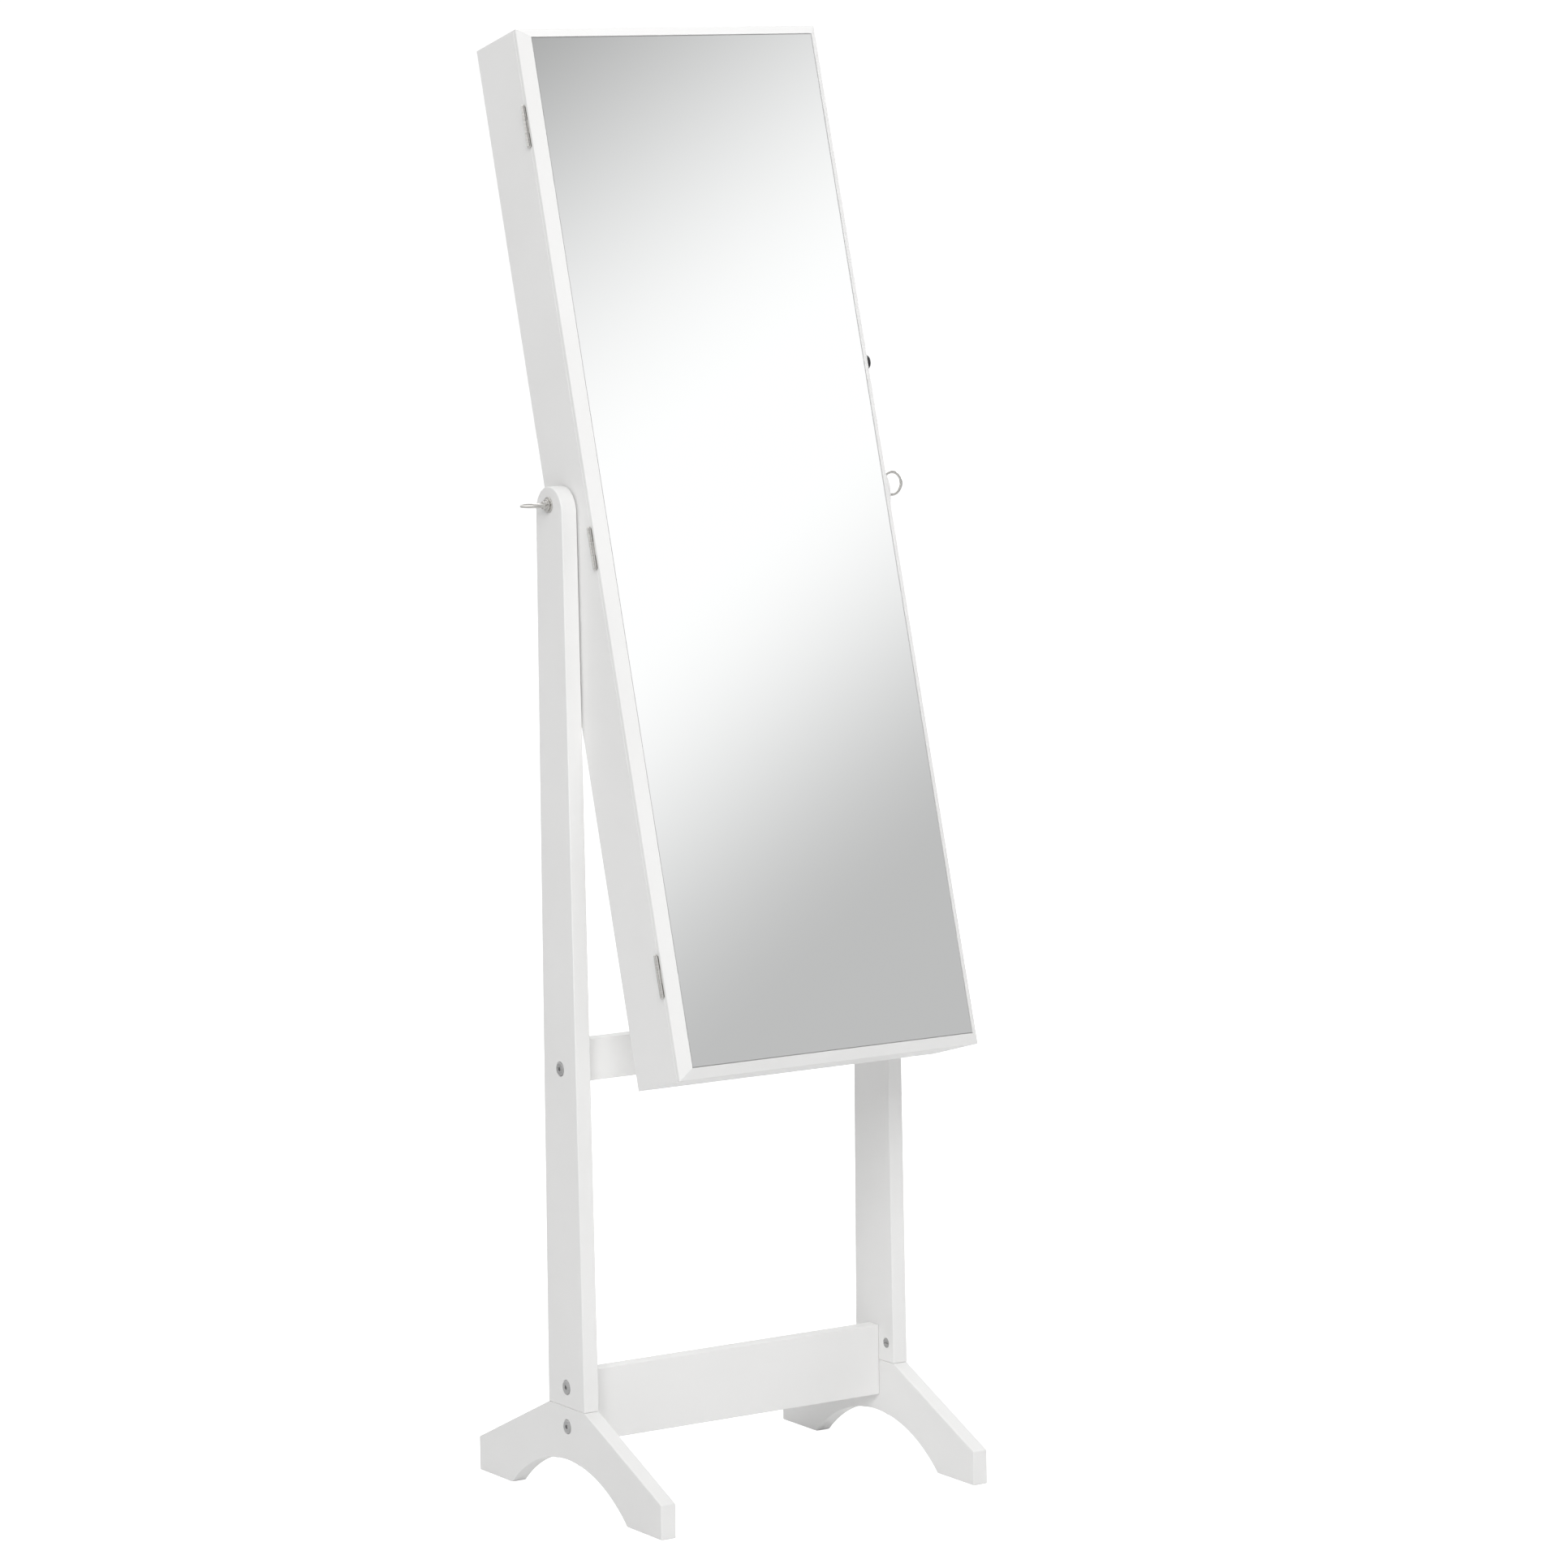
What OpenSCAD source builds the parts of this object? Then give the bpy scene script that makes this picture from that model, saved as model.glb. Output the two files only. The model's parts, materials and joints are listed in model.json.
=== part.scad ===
// Cheval floor mirror: a mirrored jewellery cabinet that tilts between two uprights.
// Millimetres. +Z is up, the mirror faces -Y, and the floor is Z = 0.
// The origin is the middle of the bounding box on the floor. The cabinet is drawn upright
// about its tilt axis, with its front towards -Y, and in_cabinet() leans it back.

/* [Stand] */
// Height of the tilt axis above the floor
pivot_h = 1000; // [960:1:1040]
// Width across the outer faces of the uprights
stand_w = 386; // [360:1:420]
// Thickness of the boards of the stand
board_t = 17; // [16:0.5:20]
// Depth of an upright where it meets its foot
upright_base_d = 70; // [66:1:80]
// Depth of an upright at its round top
upright_top_d = 50; // [44:1:56]
// Height of the joint between upright and foot
joint_h = 99; // [95:1:110]

/* [Feet] */
// Length of a foot, toe to heel
foot_l = 355; // [330:1:400]
// Height of the vertical end of a toe
toe_h = 35; // [30:1:40]
// Width of the arch at the floor
arch_w = 225; // [200:1:240]
// Height of the arch
arch_h = 45; // [38:1:50]

/* [Stretchers] */
// Height of the wide lower stretcher
lower_stretcher_h = 73; // [60:1:76]
// Height of the upper stretcher
upper_stretcher_h = 42; // [38:1:48]
// Height of the middle of the upper stretcher above the floor
upper_stretcher_z = 448; // [430:1:460]

/* [Cabinet] */
// How far the cabinet leans back from upright at rest, in degrees
tilt = 15.2; // [8:0.1:20]
// Height of the cabinet above the tilt axis
cab_top = 466; // [440:1:480]
// Depth of the cabinet below the tilt axis
cab_drop = 578; // [560:1:590]
// Distance from the tilt axis to the front edge of the carcase
carcase_front = 41; // [38:1:46]
// Distance from the tilt axis to the back of the carcase
carcase_back = 34; // [30:1:36]
// Thickness of the carcase panels
panel_t = 12; // [12:0.5:15]
// Thickness of a shelf
shelf_t = 8; // [6:0.5:10]
// Number of necklace hooks
hook_count = 12; // [6:1:16]
// Number of padded rolls in the ring tray
roll_count = 5; // [5:1:5]

/* [Door] */
// Thickness of the flat outer edge of the door frame
door_edge_t = 4.3; // [3:0.1:6]
// Width of the sloping front of the frame, seen from the front
bevel_run = 10.7; // [8:0.1:14]
// How far the slope rises towards the mirror
bevel_rise = 10.5; // [8:0.1:12]
// Full width of a frame member, with the ledge that carries the glass
frame_w = 28; // [28:1:32]
// Thickness of the mirror glass
glass_t = 3; // [2:0.5:3]
// Length of a door hinge between its pin's round ends
hinge_l = 40; // [36:1:50]
// Distance between the middle hinge and an end hinge
hinge_pitch = 422; // [380:1:440]

/* [Ring bolts] */
// Outer diameter of the ring that tightens the tilt
ring_d = 26; // [22:1:32]
// Diameter of the ring's wire
ring_wire_d = 3; // [2.5:0.1:4]
// Diameter of the bolt through the upright
pivot_bolt_d = 8; // [6:1:8]

/* [Lock] */
// Height of the lock above the tilt axis
lock_z = 119; // [100:1:140]
// Diameter of the lock's head
lock_head_d = 15; // [14:0.5:15]
// How far the head stands out of the side
lock_head_h = 7.5; // [5:0.5:9]

/* [Hidden] */
$fn = 64;
eps = 0.01;             // overshoot of a cut past a face
run_gap = 0.05;         // radial clearance of a shaft that turns in its hole
side_gap = 1.5;         // between the cabinet and an upright
half_stand = stand_w / 2;
inner_face = half_stand - board_t;
cab_w = stand_w - 2 * board_t - 2 * side_gap;
half_cab = cab_w / 2;
half_in = half_cab - panel_t;
cab_h = cab_top + cab_drop;
cab_mid = (cab_top - cab_drop) / 2;

// The frame section: door_gap in front of the carcase, then edge, slope, inner wall and ledge
door_gap = 0.5;
door_back_y = carcase_front + door_gap;
edge_y = door_back_y + door_edge_t;
arris_y = edge_y + bevel_rise;
glass_recess = 1;
glass_gap = 0.8;        // all round the glass, inside the frame
ledge_y = arris_y - glass_recess - glass_t;
frame_section = [
    [0, -door_back_y],
    [0, -edge_y],
    [bevel_run, -arris_y],
    [bevel_run, -ledge_y],
    [frame_w, -ledge_y],
    [frame_w, -door_back_y],
];

// The tilt axis stands behind the middle of the bounding box, because the leaning cabinet
// reaches further forward than the heels reach back
front_reach = arris_y * cos(tilt) + (cab_drop - bevel_run) * sin(tilt);
pivot_y = (front_reach - foot_l / 2) / 2;

// The arch is a circle through its two floor corners and its crown
arch_r = (arch_w * arch_w / 4 + arch_h * arch_h) / (2 * arch_h);
upright_top_z = 18 - upright_top_d / 2;  // centre of the round top, seen from the tilt axis

// Connector bolts
bolt_r = 3;
bolt_hole_r = 3.2;
bolt_head_r = 7;
bolt_head_t = 3;
bolt_head_proud = 0.6;
bolt_socket_r = 2.3;
bolt_l = 58;
nut_r = 5;
nut_l = 13;
nut_set_in = 45;        // from an upright's outer face to a barrel nut in a stretcher
stretcher_bolt_dz = 20; // above and below the joint
upper_bolt_dz = 7.2;    // bolt below and dowel above the middle of the upper stretcher
foot_bolt_dy = 21;
foot_nut_dz = 19.5;
foot_bolt_sink = 6;     // depth of the counterbore in the arch
dowel_r = 4;
dowel_l = 24;

// Carcase
back_t = 4;
back_lap = 6;           // how far the back panel laps onto the carcase panels
back_inset = 1;
lining_t = 3;
lining_y = carcase_back - back_inset - back_t - lining_t;
carcase_dowel_r = 3;
carcase_dowel_l = 22;
insert_r = 5.5;
insert_l = 11;
spacer_r = 11;
washer_r = 8;
washer_t = 1.5;
collar_r = 6;
collar_t = 2;
stem_r = 4;

// Fittings inside, as heights from the tilt axis
hook_rail_z = 430;
hook_rail_h = 20;
hook_rail_t = 12;
hook_rail_l = 300;
hook_wire_r = 1.2;
hook_bend_r = 5;
hook_reach = 9;
earring_z = 75;
earring_h = 110;
earring_l = 300;
earring_t = 2;
earring_stand = 18;
earring_slots = 6;
earring_slot_pitch = 15;
earring_slot_l = 256;
earring_slot_h = 2.4;
tray_z = -35;
tray_h = 90;
tray_l = 300;
tray_d = 26;
tray_wall = 5;
roll_r = 7.6;
rod_z = -130;
rod_r = 8;
rod_l = 230;
rod_y = -4;
bracket_t = 8;
shelf_tops = [-235, -345, -455];
shelf_d = 56;
rail_r = 3;
rail_z_up = 26;         // height of a retaining rail above its shelf
rail_y = -24;

// Hinges: leaves lie half sunk in the carcase edge and in the back of the door
leaf_t = 0.9;
leaf_w = 11;
leaf_gap = 0.1;
knuckle_r = 2;
hinge_pin_r = 1;
hinge_out = 2.2;        // from the cabinet's side to the hinge axis
hinge_x = -half_cab - hinge_out;
hinge_y = -carcase_front - door_gap / 2;
hinge_rise = 3;         // how far the middle hinge sits above the middle of the door
hinge_z = [for (k = [-1, 0, 1]) cab_mid + hinge_rise + k * hinge_pitch];
knuckle_l = hinge_l / 3;
knuckle_gap = 0.15;
screw_r = 1.2;
screw_head_r = 2.4;
screw_l = 9;
door_screw_l = 6.5;     // shorter, to stay inside the slope of the frame
leaf_screw_dz = 12;
leaf_screw_x = -half_cab + 5.5;

// Lock: a housing through the right side, a turning cylinder and a hooked cam
lock_y = -33.6;
lock_barrel_r = 6.2;
lock_core_r = 4.5;
lock_barrel_in = 5;     // length of the barrel inside the cabinet
lock_nut_t = 2.5;
lock_nut_r = 8.4;       // over the corners
cam_t = 1.6;
cam_x = half_in - lock_barrel_in - 1 - cam_t;
cam_reach = 16;
cam_arm = 4;
cam_barb = 5.5;
cam_neck = 10.7;        // where the barb begins
keeper_t = 1.5;
keeper_w = 16;
keeper_h = 44;
slot_w = 7;
slot_low = 2;
slot_high = 18;
pocket_d = 9.6;
key_slot = [1.4, 6, 5];

// Magnetic catch
catch_z = 300;
catch_w = 11;
catch_h = 42;
catch_d = 14;
strike_t = 0.8;
strike_h = 28;

// ---- Helpers ----

// Moves to the tilt axis
module at_pivot() { translate([0, pivot_y, pivot_h]) children(); }

// Moves to the tilt axis and leans back with the cabinet
module in_cabinet() { at_pivot() rotate([-tilt, 0, 0]) children(); }

// Moves to the floor below the tilt axis
module in_stand() { translate([0, pivot_y, 0]) children(); }

module both_sides() {
    for (side = [0, 1]) mirror([side, 0, 0]) children();
}

module front_and_back() {
    for (side = [0, 1]) mirror([0, side, 0]) children();
}

// Cylinder along X from x0 to x1
module x_rod(r, x0, x1, y = 0, z = 0) {
    translate([x0, y, z]) rotate([0, 90, 0]) cylinder(r = r, h = x1 - x0);
}

// Cylinder along Y from y0 to y1
module y_rod(r, y0, y1, x = 0, z = 0) {
    translate([x, y1, z]) rotate([90, 0, 0]) cylinder(r = r, h = y1 - y0);
}

// Cylinder along Z from z0 to z1
module z_rod(r, z0, z1, x = 0, y = 0) {
    translate([x, y, z0]) cylinder(r = r, h = z1 - z0);
}

// Box from two opposite corners
module span(low, high) { translate(low) cube(high - low); }

// A flat outline in the YZ plane, made solid from x0 to x1
module side_board(points, x0, x1) {
    translate([x0, 0, 0]) rotate([90, 0, 90]) linear_extrude(height = x1 - x0) polygon(points);
}

// A flat outline in the XZ plane, made solid from y0 to y1
module front_board(points, y0, y1) {
    translate([0, y1, 0]) rotate([90, 0, 0]) linear_extrude(height = y1 - y0) polygon(points);
}

// ---- Stand, drawn for the right side (+X) and mirrored for the left ----

module upright() {
    color("white") difference() {
        union() {
            side_board([
                [-upright_base_d / 2, joint_h],
                [upright_base_d / 2, joint_h],
                [upright_top_d / 2, pivot_h + upright_top_z],
                [-upright_top_d / 2, pivot_h + upright_top_z],
            ], inner_face, half_stand);
            x_rod(upright_top_d / 2, inner_face, half_stand, 0, pivot_h + upright_top_z);
        }
        x_rod(pivot_bolt_d / 2 + run_gap, inner_face - eps, half_stand + eps, 0, pivot_h);
        stretcher_bolt_hole(joint_h + stretcher_bolt_dz);
        stretcher_bolt_hole(upper_stretcher_z - upper_bolt_dz);
        x_rod(dowel_r, inner_face - eps, inner_face + dowel_l / 2, 0, upper_stretcher_z + upper_bolt_dz);
        front_and_back() {
            foot_nut_bore();
            z_rod(bolt_hole_r, joint_h - eps, joint_h + foot_nut_dz + nut_r + 4,
                  foot_bolt_x, foot_bolt_dy);
        }
        z_rod(dowel_r, joint_h - eps, joint_h + dowel_l / 2, foot_bolt_x);
    }
}

foot_bolt_x = half_stand - board_t / 2;

module stretcher_bolt_hole(z) {
    x_rod(bolt_hole_r, inner_face - eps, half_stand + eps, 0, z);
    x_rod(bolt_head_r + 0.2, half_stand - bolt_head_t + bolt_head_proud, half_stand + eps, 0, z);
}

module foot_nut_bore() {
    x_rod(nut_r, inner_face - eps, inner_face + nut_l, foot_bolt_dy, joint_h + foot_nut_dz);
}

module foot() {
    color("white") difference() {
        side_board([
            [-foot_l / 2, 0],
            [foot_l / 2, 0],
            [foot_l / 2, toe_h],
            [upright_base_d / 2, joint_h],
            [-upright_base_d / 2, joint_h],
            [-foot_l / 2, toe_h],
        ], inner_face, half_stand);
        translate([0, 0, arch_h - arch_r])
            rotate([0, 90, 0]) cylinder(r = arch_r, h = half_stand + 1, $fn = 128);
        stretcher_bolt_hole(joint_h - stretcher_bolt_dz);
        front_and_back() {
            z_rod(bolt_hole_r, arch_h - 5, joint_h + eps, foot_bolt_x, foot_bolt_dy);
            z_rod(bolt_head_r + 0.2, arch_h - 5, arch_h + foot_bolt_sink, foot_bolt_x, foot_bolt_dy);
        }
        z_rod(dowel_r, joint_h - dowel_l / 2, joint_h + eps, foot_bolt_x);
    }
}

// Holes in the end of a stretcher for one bolt and its barrel nut, which goes in from behind
module stretcher_bolt_bore(z) {
    x_rod(bolt_hole_r, half_stand - bolt_l - 2, inner_face + eps, 0, z);
    y_rod(nut_r, -nut_l / 2, board_t / 2 + eps, half_stand - nut_set_in, z);
}

module lower_stretcher() {
    color("white") in_stand() difference() {
        span([-inner_face, -board_t / 2, joint_h - lower_stretcher_h / 2],
             [inner_face, board_t / 2, joint_h + lower_stretcher_h / 2]);
        both_sides() for (dz = [-1, 1] * stretcher_bolt_dz) stretcher_bolt_bore(joint_h + dz);
    }
}

module upper_stretcher() {
    color("white") in_stand() difference() {
        span([-inner_face, -board_t / 2, upper_stretcher_z - upper_stretcher_h / 2],
             [inner_face, board_t / 2, upper_stretcher_z + upper_stretcher_h / 2]);
        both_sides() {
            stretcher_bolt_bore(upper_stretcher_z - upper_bolt_dz);
            x_rod(dowel_r, inner_face - dowel_l / 2, inner_face + eps,
                  0, upper_stretcher_z + upper_bolt_dz);
        }
    }
}

stretcher_bolt_heights = [
    joint_h - stretcher_bolt_dz,
    joint_h + stretcher_bolt_dz,
    upper_stretcher_z - upper_bolt_dz,
];

// A connector bolt along X, with its domed head at x = 0 and its shank towards -X
module connector_bolt(length) {
    difference() {
        union() {
            x_rod(bolt_r, -length, -bolt_head_t + 1, 0, 0);
            x_rod(bolt_head_r, -bolt_head_t, -0.8);
            translate([-0.8, 0, 0]) rotate([0, 90, 0])
                cylinder(r1 = bolt_head_r, r2 = bolt_head_r - 1.2, h = 0.8);
        }
        rotate([0, 90, 0]) translate([0, 0, -2]) cylinder(r = bolt_socket_r, h = 2 + eps, $fn = 6);
    }
}

module stretcher_bolts() {
    color("silver") in_stand() both_sides() for (z = stretcher_bolt_heights)
        translate([half_stand + bolt_head_proud, 0, z]) connector_bolt(bolt_l);
}

// A barrel nut along Y with its screw slot at the back and its cross hole along X
module stretcher_nuts() {
    color("silver") in_stand() both_sides() for (z = stretcher_bolt_heights)
        difference() {
            y_rod(nut_r, -nut_l / 2, nut_l / 2, half_stand - nut_set_in, z);
            x_rod(bolt_r, 0, half_stand, 0, z);
            span([0, nut_l / 2 - 1.2, z - 0.6], [half_stand, nut_l / 2 + 1, z + 0.6]);
        }
}

foot_bolt_l = foot_nut_dz + nut_r + 2 + joint_h - arch_h - foot_bolt_sink + bolt_head_t;

module foot_bolts() {
    color("silver") in_stand() both_sides() front_and_back()
        translate([foot_bolt_x, foot_bolt_dy, arch_h + foot_bolt_sink - bolt_head_t])
            rotate([0, 90, 0]) connector_bolt(foot_bolt_l);
}

module foot_nuts() {
    color("silver") in_stand() both_sides() front_and_back()
        difference() {
            x_rod(nut_r, inner_face + 0.4, inner_face + nut_l, foot_bolt_dy, joint_h + foot_nut_dz);
            z_rod(bolt_r, joint_h, joint_h + 40, foot_bolt_x, foot_bolt_dy);
            span([inner_face, foot_bolt_dy - nut_r, joint_h + foot_nut_dz - 0.6],
                 [inner_face + 1.6, foot_bolt_dy + nut_r, joint_h + foot_nut_dz + 0.6]);
        }
}

module stand_dowels() {
    color("burlywood") in_stand() both_sides() {
        z_rod(dowel_r, joint_h - dowel_l / 2, joint_h + dowel_l / 2, foot_bolt_x);
        x_rod(dowel_r, inner_face - dowel_l / 2, inner_face + dowel_l / 2, 0,
              upper_stretcher_z + upper_bolt_dz);
    }
}

module left_upright() { in_stand() mirror([1, 0, 0]) upright(); }
module right_upright() { in_stand() upright(); }
module left_foot() { in_stand() mirror([1, 0, 0]) foot(); }
module right_foot() { in_stand() foot(); }

// ---- Carcase ----

// The space that the back panel takes, out to the very back
module back_rebate() {
    span([-half_in - back_lap, carcase_back - back_inset - back_t, -cab_drop + panel_t - back_lap],
         [half_in + back_lap, carcase_back + 1, cab_top - panel_t + back_lap]);
}

// Where the carcase dowels go: two in each corner, along X
module corner_dowels(x0, x1) {
    for (z = [-cab_drop + panel_t / 2, cab_top - panel_t / 2])
        for (y = [-carcase_front + 20, carcase_back - 20]) x_rod(carcase_dowel_r, x0, x1, y, z);
}

module plain_side() {
    difference() {
        span([half_in, -carcase_front, -cab_drop], [half_cab, carcase_back, cab_top]);
        back_rebate();
        corner_dowels(half_in - 1, half_in + panel_t * 0.65);
        x_rod(insert_r, half_cab - insert_l, half_cab + eps);
    }
}

// Room for one hinge leaf, on the front edge of the left side or the back of the door
module leaf_recess(z, y0, y1) {
    span([-half_cab - eps, y0, z - hinge_l / 2 - 0.1],
         [-half_cab + leaf_w + 0.1, y1, z + hinge_l / 2 + 0.1]);
    for (dz = [-1, 1] * leaf_screw_dz)
        y_rod(screw_r, hinge_y - door_screw_l - 0.5, hinge_y + screw_l + 0.5, leaf_screw_x, z + dz);
}

module left_side() {
    color("white") in_cabinet() difference() {
        mirror([1, 0, 0]) plain_side();
        for (z = hinge_z)
            leaf_recess(z, -carcase_front - eps, hinge_y + leaf_gap / 2 + leaf_t);
    }
}

module right_side() {
    color("white") in_cabinet() difference() {
        plain_side();
        x_rod(lock_barrel_r, half_in - eps, half_cab + eps, lock_y, lock_z);
    }
}

module top_panel() {
    color("white") in_cabinet() difference() {
        span([-half_in, -carcase_front, cab_top - panel_t], [half_in, carcase_back, cab_top]);
        back_rebate();
        both_sides() corner_dowels(half_in - carcase_dowel_l, half_in + 1);
    }
}

module bottom_panel() {
    color("white") in_cabinet() difference() {
        span([-half_in, -carcase_front, -cab_drop], [half_in, carcase_back, -cab_drop + panel_t]);
        back_rebate();
        both_sides() corner_dowels(half_in - carcase_dowel_l, half_in + 1);
    }
}

module carcase_dowels() {
    color("burlywood") in_cabinet() both_sides()
        corner_dowels(half_in - carcase_dowel_l + panel_t * 0.65 + 2, half_in + panel_t * 0.65);
}

module back_panel() {
    color("white") in_cabinet() difference() {
        span([-half_in - back_lap, carcase_back - back_inset - back_t, -cab_drop + panel_t - back_lap],
             [half_in + back_lap, carcase_back - back_inset, cab_top - panel_t + back_lap]);
        back_screw_places() y_rod(screw_r, carcase_back - back_t - 2, carcase_back + 1);
    }
}

// Small screws round the edge of the back panel, over the carcase panels
module back_screw_places() {
    for (x = [-half_in - back_lap / 2, half_in + back_lap / 2])
        for (k = [0:4]) translate([x, 0, -cab_drop + 60 + k * (cab_h - 120) / 4]) children();
    for (z = [-cab_drop + panel_t - back_lap / 2, cab_top - panel_t + back_lap / 2])
        translate([0, 0, z]) children();
}

module back_screws() {
    color("silver") in_cabinet() back_screw_places() {
        y_rod(screw_r, carcase_back - back_inset - back_t, carcase_back - back_inset);
        y_rod(screw_head_r, carcase_back - back_inset, carcase_back - back_inset + 0.9);
    }
}

module lining() {
    color("dimgray") in_cabinet()
        span([-half_in, lining_y, -cab_drop + panel_t], [half_in, lining_y + lining_t, cab_top - panel_t]);
}

module pivot_inserts() {
    color("silver") in_cabinet() both_sides() difference() {
        x_rod(insert_r, half_cab - insert_l, half_cab);
        x_rod(pivot_bolt_d / 2 + run_gap, half_cab - insert_l - eps, half_cab + eps);
    }
}

module pivot_spacers() {
    color("whitesmoke") in_cabinet() both_sides() difference() {
        x_rod(spacer_r, half_cab, inner_face - run_gap);
        x_rod(pivot_bolt_d / 2 + run_gap, half_cab - eps, inner_face + eps);
    }
}

// ---- Fittings inside the carcase ----

module hook_rail() {
    color("white") in_cabinet() difference() {
        span([-hook_rail_l / 2, lining_y - hook_rail_t, hook_rail_z - hook_rail_h / 2],
             [hook_rail_l / 2, lining_y, hook_rail_z + hook_rail_h / 2]);
        hook_places() y_rod(hook_wire_r, lining_y - hook_rail_t - eps, lining_y - 4);
    }
}

module hook_places() {
    pitch = (hook_rail_l - 30) / (hook_count - 1);
    for (k = [0:hook_count - 1]) translate([k * pitch - (hook_rail_l - 30) / 2, 0, hook_rail_z]) children();
}

// Each hook goes straight out of the rail, then round and up
module necklace_hooks() {
    bend_y = lining_y - hook_rail_t - hook_reach;
    color("gold") in_cabinet() hook_places() union() {
        y_rod(hook_wire_r, bend_y, lining_y - 4);
        translate([0, bend_y, 0]) sphere(r = hook_wire_r);
        y_rod(2.6, lining_y - hook_rail_t - 0.8, lining_y - hook_rail_t);
        translate([0, bend_y - hook_bend_r, 0]) rotate([90, 0, 90]) rotate([0, 0, 180])
            rotate_extrude(angle = 180) translate([hook_bend_r, 0]) circle(r = hook_wire_r, $fn = 24);
        z_rod(hook_wire_r, 0, 2, 0, bend_y - 2 * hook_bend_r);
        translate([0, bend_y - 2 * hook_bend_r, 2]) sphere(r = hook_wire_r);
    }
}

module earring_corners() {
    for (x = [-1, 1] * (earring_l / 2 - 8)) for (z = [-1, 1] * (earring_h / 2 - 8))
        translate([x, 0, earring_z + z]) children();
}

module earring_panel() {
    front = lining_y - earring_stand - earring_t;
    color("silver") in_cabinet() difference() {
        span([-earring_l / 2, front, earring_z - earring_h / 2],
             [earring_l / 2, front + earring_t, earring_z + earring_h / 2]);
        for (k = [0:earring_slots - 1]) {
            z = earring_z + (k - (earring_slots - 1) / 2) * earring_slot_pitch;
            span([-earring_slot_l / 2, front - 1, z - earring_slot_h / 2],
                 [earring_slot_l / 2, front + earring_t + 1, z + earring_slot_h / 2]);
        }
        earring_corners() y_rod(2, front - 1, front + earring_t + 1);
    }
}

module earring_standoffs() {
    front = lining_y - earring_stand - earring_t;
    color("silver") in_cabinet() earring_corners() {
        y_rod(4, front + earring_t, lining_y);
        y_rod(2, front, front + earring_t);
        y_rod(3.5, front - 1.5, front);
    }
}

module ring_tray() {
    color("white") in_cabinet() difference() {
        span([-tray_l / 2, lining_y - tray_d, tray_z - tray_h / 2],
             [tray_l / 2, lining_y, tray_z + tray_h / 2]);
        span([-tray_l / 2 + tray_wall, lining_y - tray_d - 1, tray_z - tray_h / 2 + tray_wall],
             [tray_l / 2 - tray_wall, lining_y - tray_wall, tray_z + tray_h / 2 - tray_wall]);
    }
}

// Soft rolls across the tray, with room to press a ring in between them
module ring_rolls() {
    pitch = (tray_h - 2 * tray_wall) / roll_count;
    color("dimgray") in_cabinet() for (k = [0:roll_count - 1])
        x_rod(roll_r, -tray_l / 2 + tray_wall + 0.4, tray_l / 2 - tray_wall - 0.4,
              lining_y - tray_wall - roll_r - 0.3,
              tray_z + (k - (roll_count - 1) / 2) * pitch);
}

module bracelet_rod() {
    color("dimgray") in_cabinet() x_rod(rod_r, -rod_l / 2, rod_l / 2, rod_y, rod_z);
}

module rod_brackets() {
    color("white") in_cabinet() both_sides() difference() {
        union() {
            x_rod(rod_r + 4, rod_l / 2 - bracket_t, rod_l / 2 + 3, rod_y, rod_z);
            span([rod_l / 2 - bracket_t, rod_y, rod_z - rod_r - 4],
                 [rod_l / 2 + 3, lining_y, rod_z + rod_r + 4]);
        }
        x_rod(rod_r, rod_l / 2 - bracket_t - 1, rod_l / 2, rod_y, rod_z);
    }
}

module shelf(top) {
    color("white") in_cabinet()
        span([-half_in, lining_y - shelf_d, top - shelf_t], [half_in, lining_y, top]);
}

module shelf_1() { shelf(shelf_tops[0]); }
module shelf_2() { shelf(shelf_tops[1]); }
module shelf_3() { shelf(shelf_tops[2]); }

// Rods across the front keep things on the shelves and on the bottom
module retaining_rails() {
    color("silver") in_cabinet() for (top = concat(shelf_tops, [-cab_drop + panel_t]))
        x_rod(rail_r, -half_in, half_in, rail_y, top + rail_z_up);
}

// ---- Lock and catch ----

module lock_housing() {
    color("#202022") in_cabinet() translate([0, lock_y, lock_z]) difference() {
        union() {
            x_rod(lock_barrel_r, half_in - lock_barrel_in, half_cab + 1);
            x_rod(lock_head_d / 2, half_cab, half_cab + lock_head_h - 1);
            translate([half_cab + lock_head_h - 1, 0, 0]) rotate([0, 90, 0])
                cylinder(r1 = lock_head_d / 2, r2 = lock_head_d / 2 - 1, h = 1);
        }
        x_rod(lock_core_r + run_gap, half_in - lock_barrel_in - 1, half_cab + lock_head_h + 1);
    }
}

module lock_nut() {
    color("silver") in_cabinet() translate([half_in - lock_nut_t, lock_y, lock_z]) difference() {
        rotate([0, 90, 0]) cylinder(r = lock_nut_r, h = lock_nut_t, $fn = 6);
        x_rod(lock_barrel_r, -1, lock_nut_t + 1);
    }
}

module lock_cylinder() {
    x_end = half_cab + lock_head_h - 0.3;
    color("silver") in_cabinet() translate([0, lock_y, lock_z]) difference() {
        union() {
            x_rod(lock_core_r, cam_x + cam_t, x_end);
            x_rod(2.5, cam_x, cam_x + cam_t + 1);
        }
        translate([x_end - key_slot[2], -key_slot[0] / 2, -key_slot[1] / 2])
            cube([key_slot[2] + 1, key_slot[0], key_slot[1]]);
        x_rod(1.5, cam_x - 1, cam_x + 6);
    }
}

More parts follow.
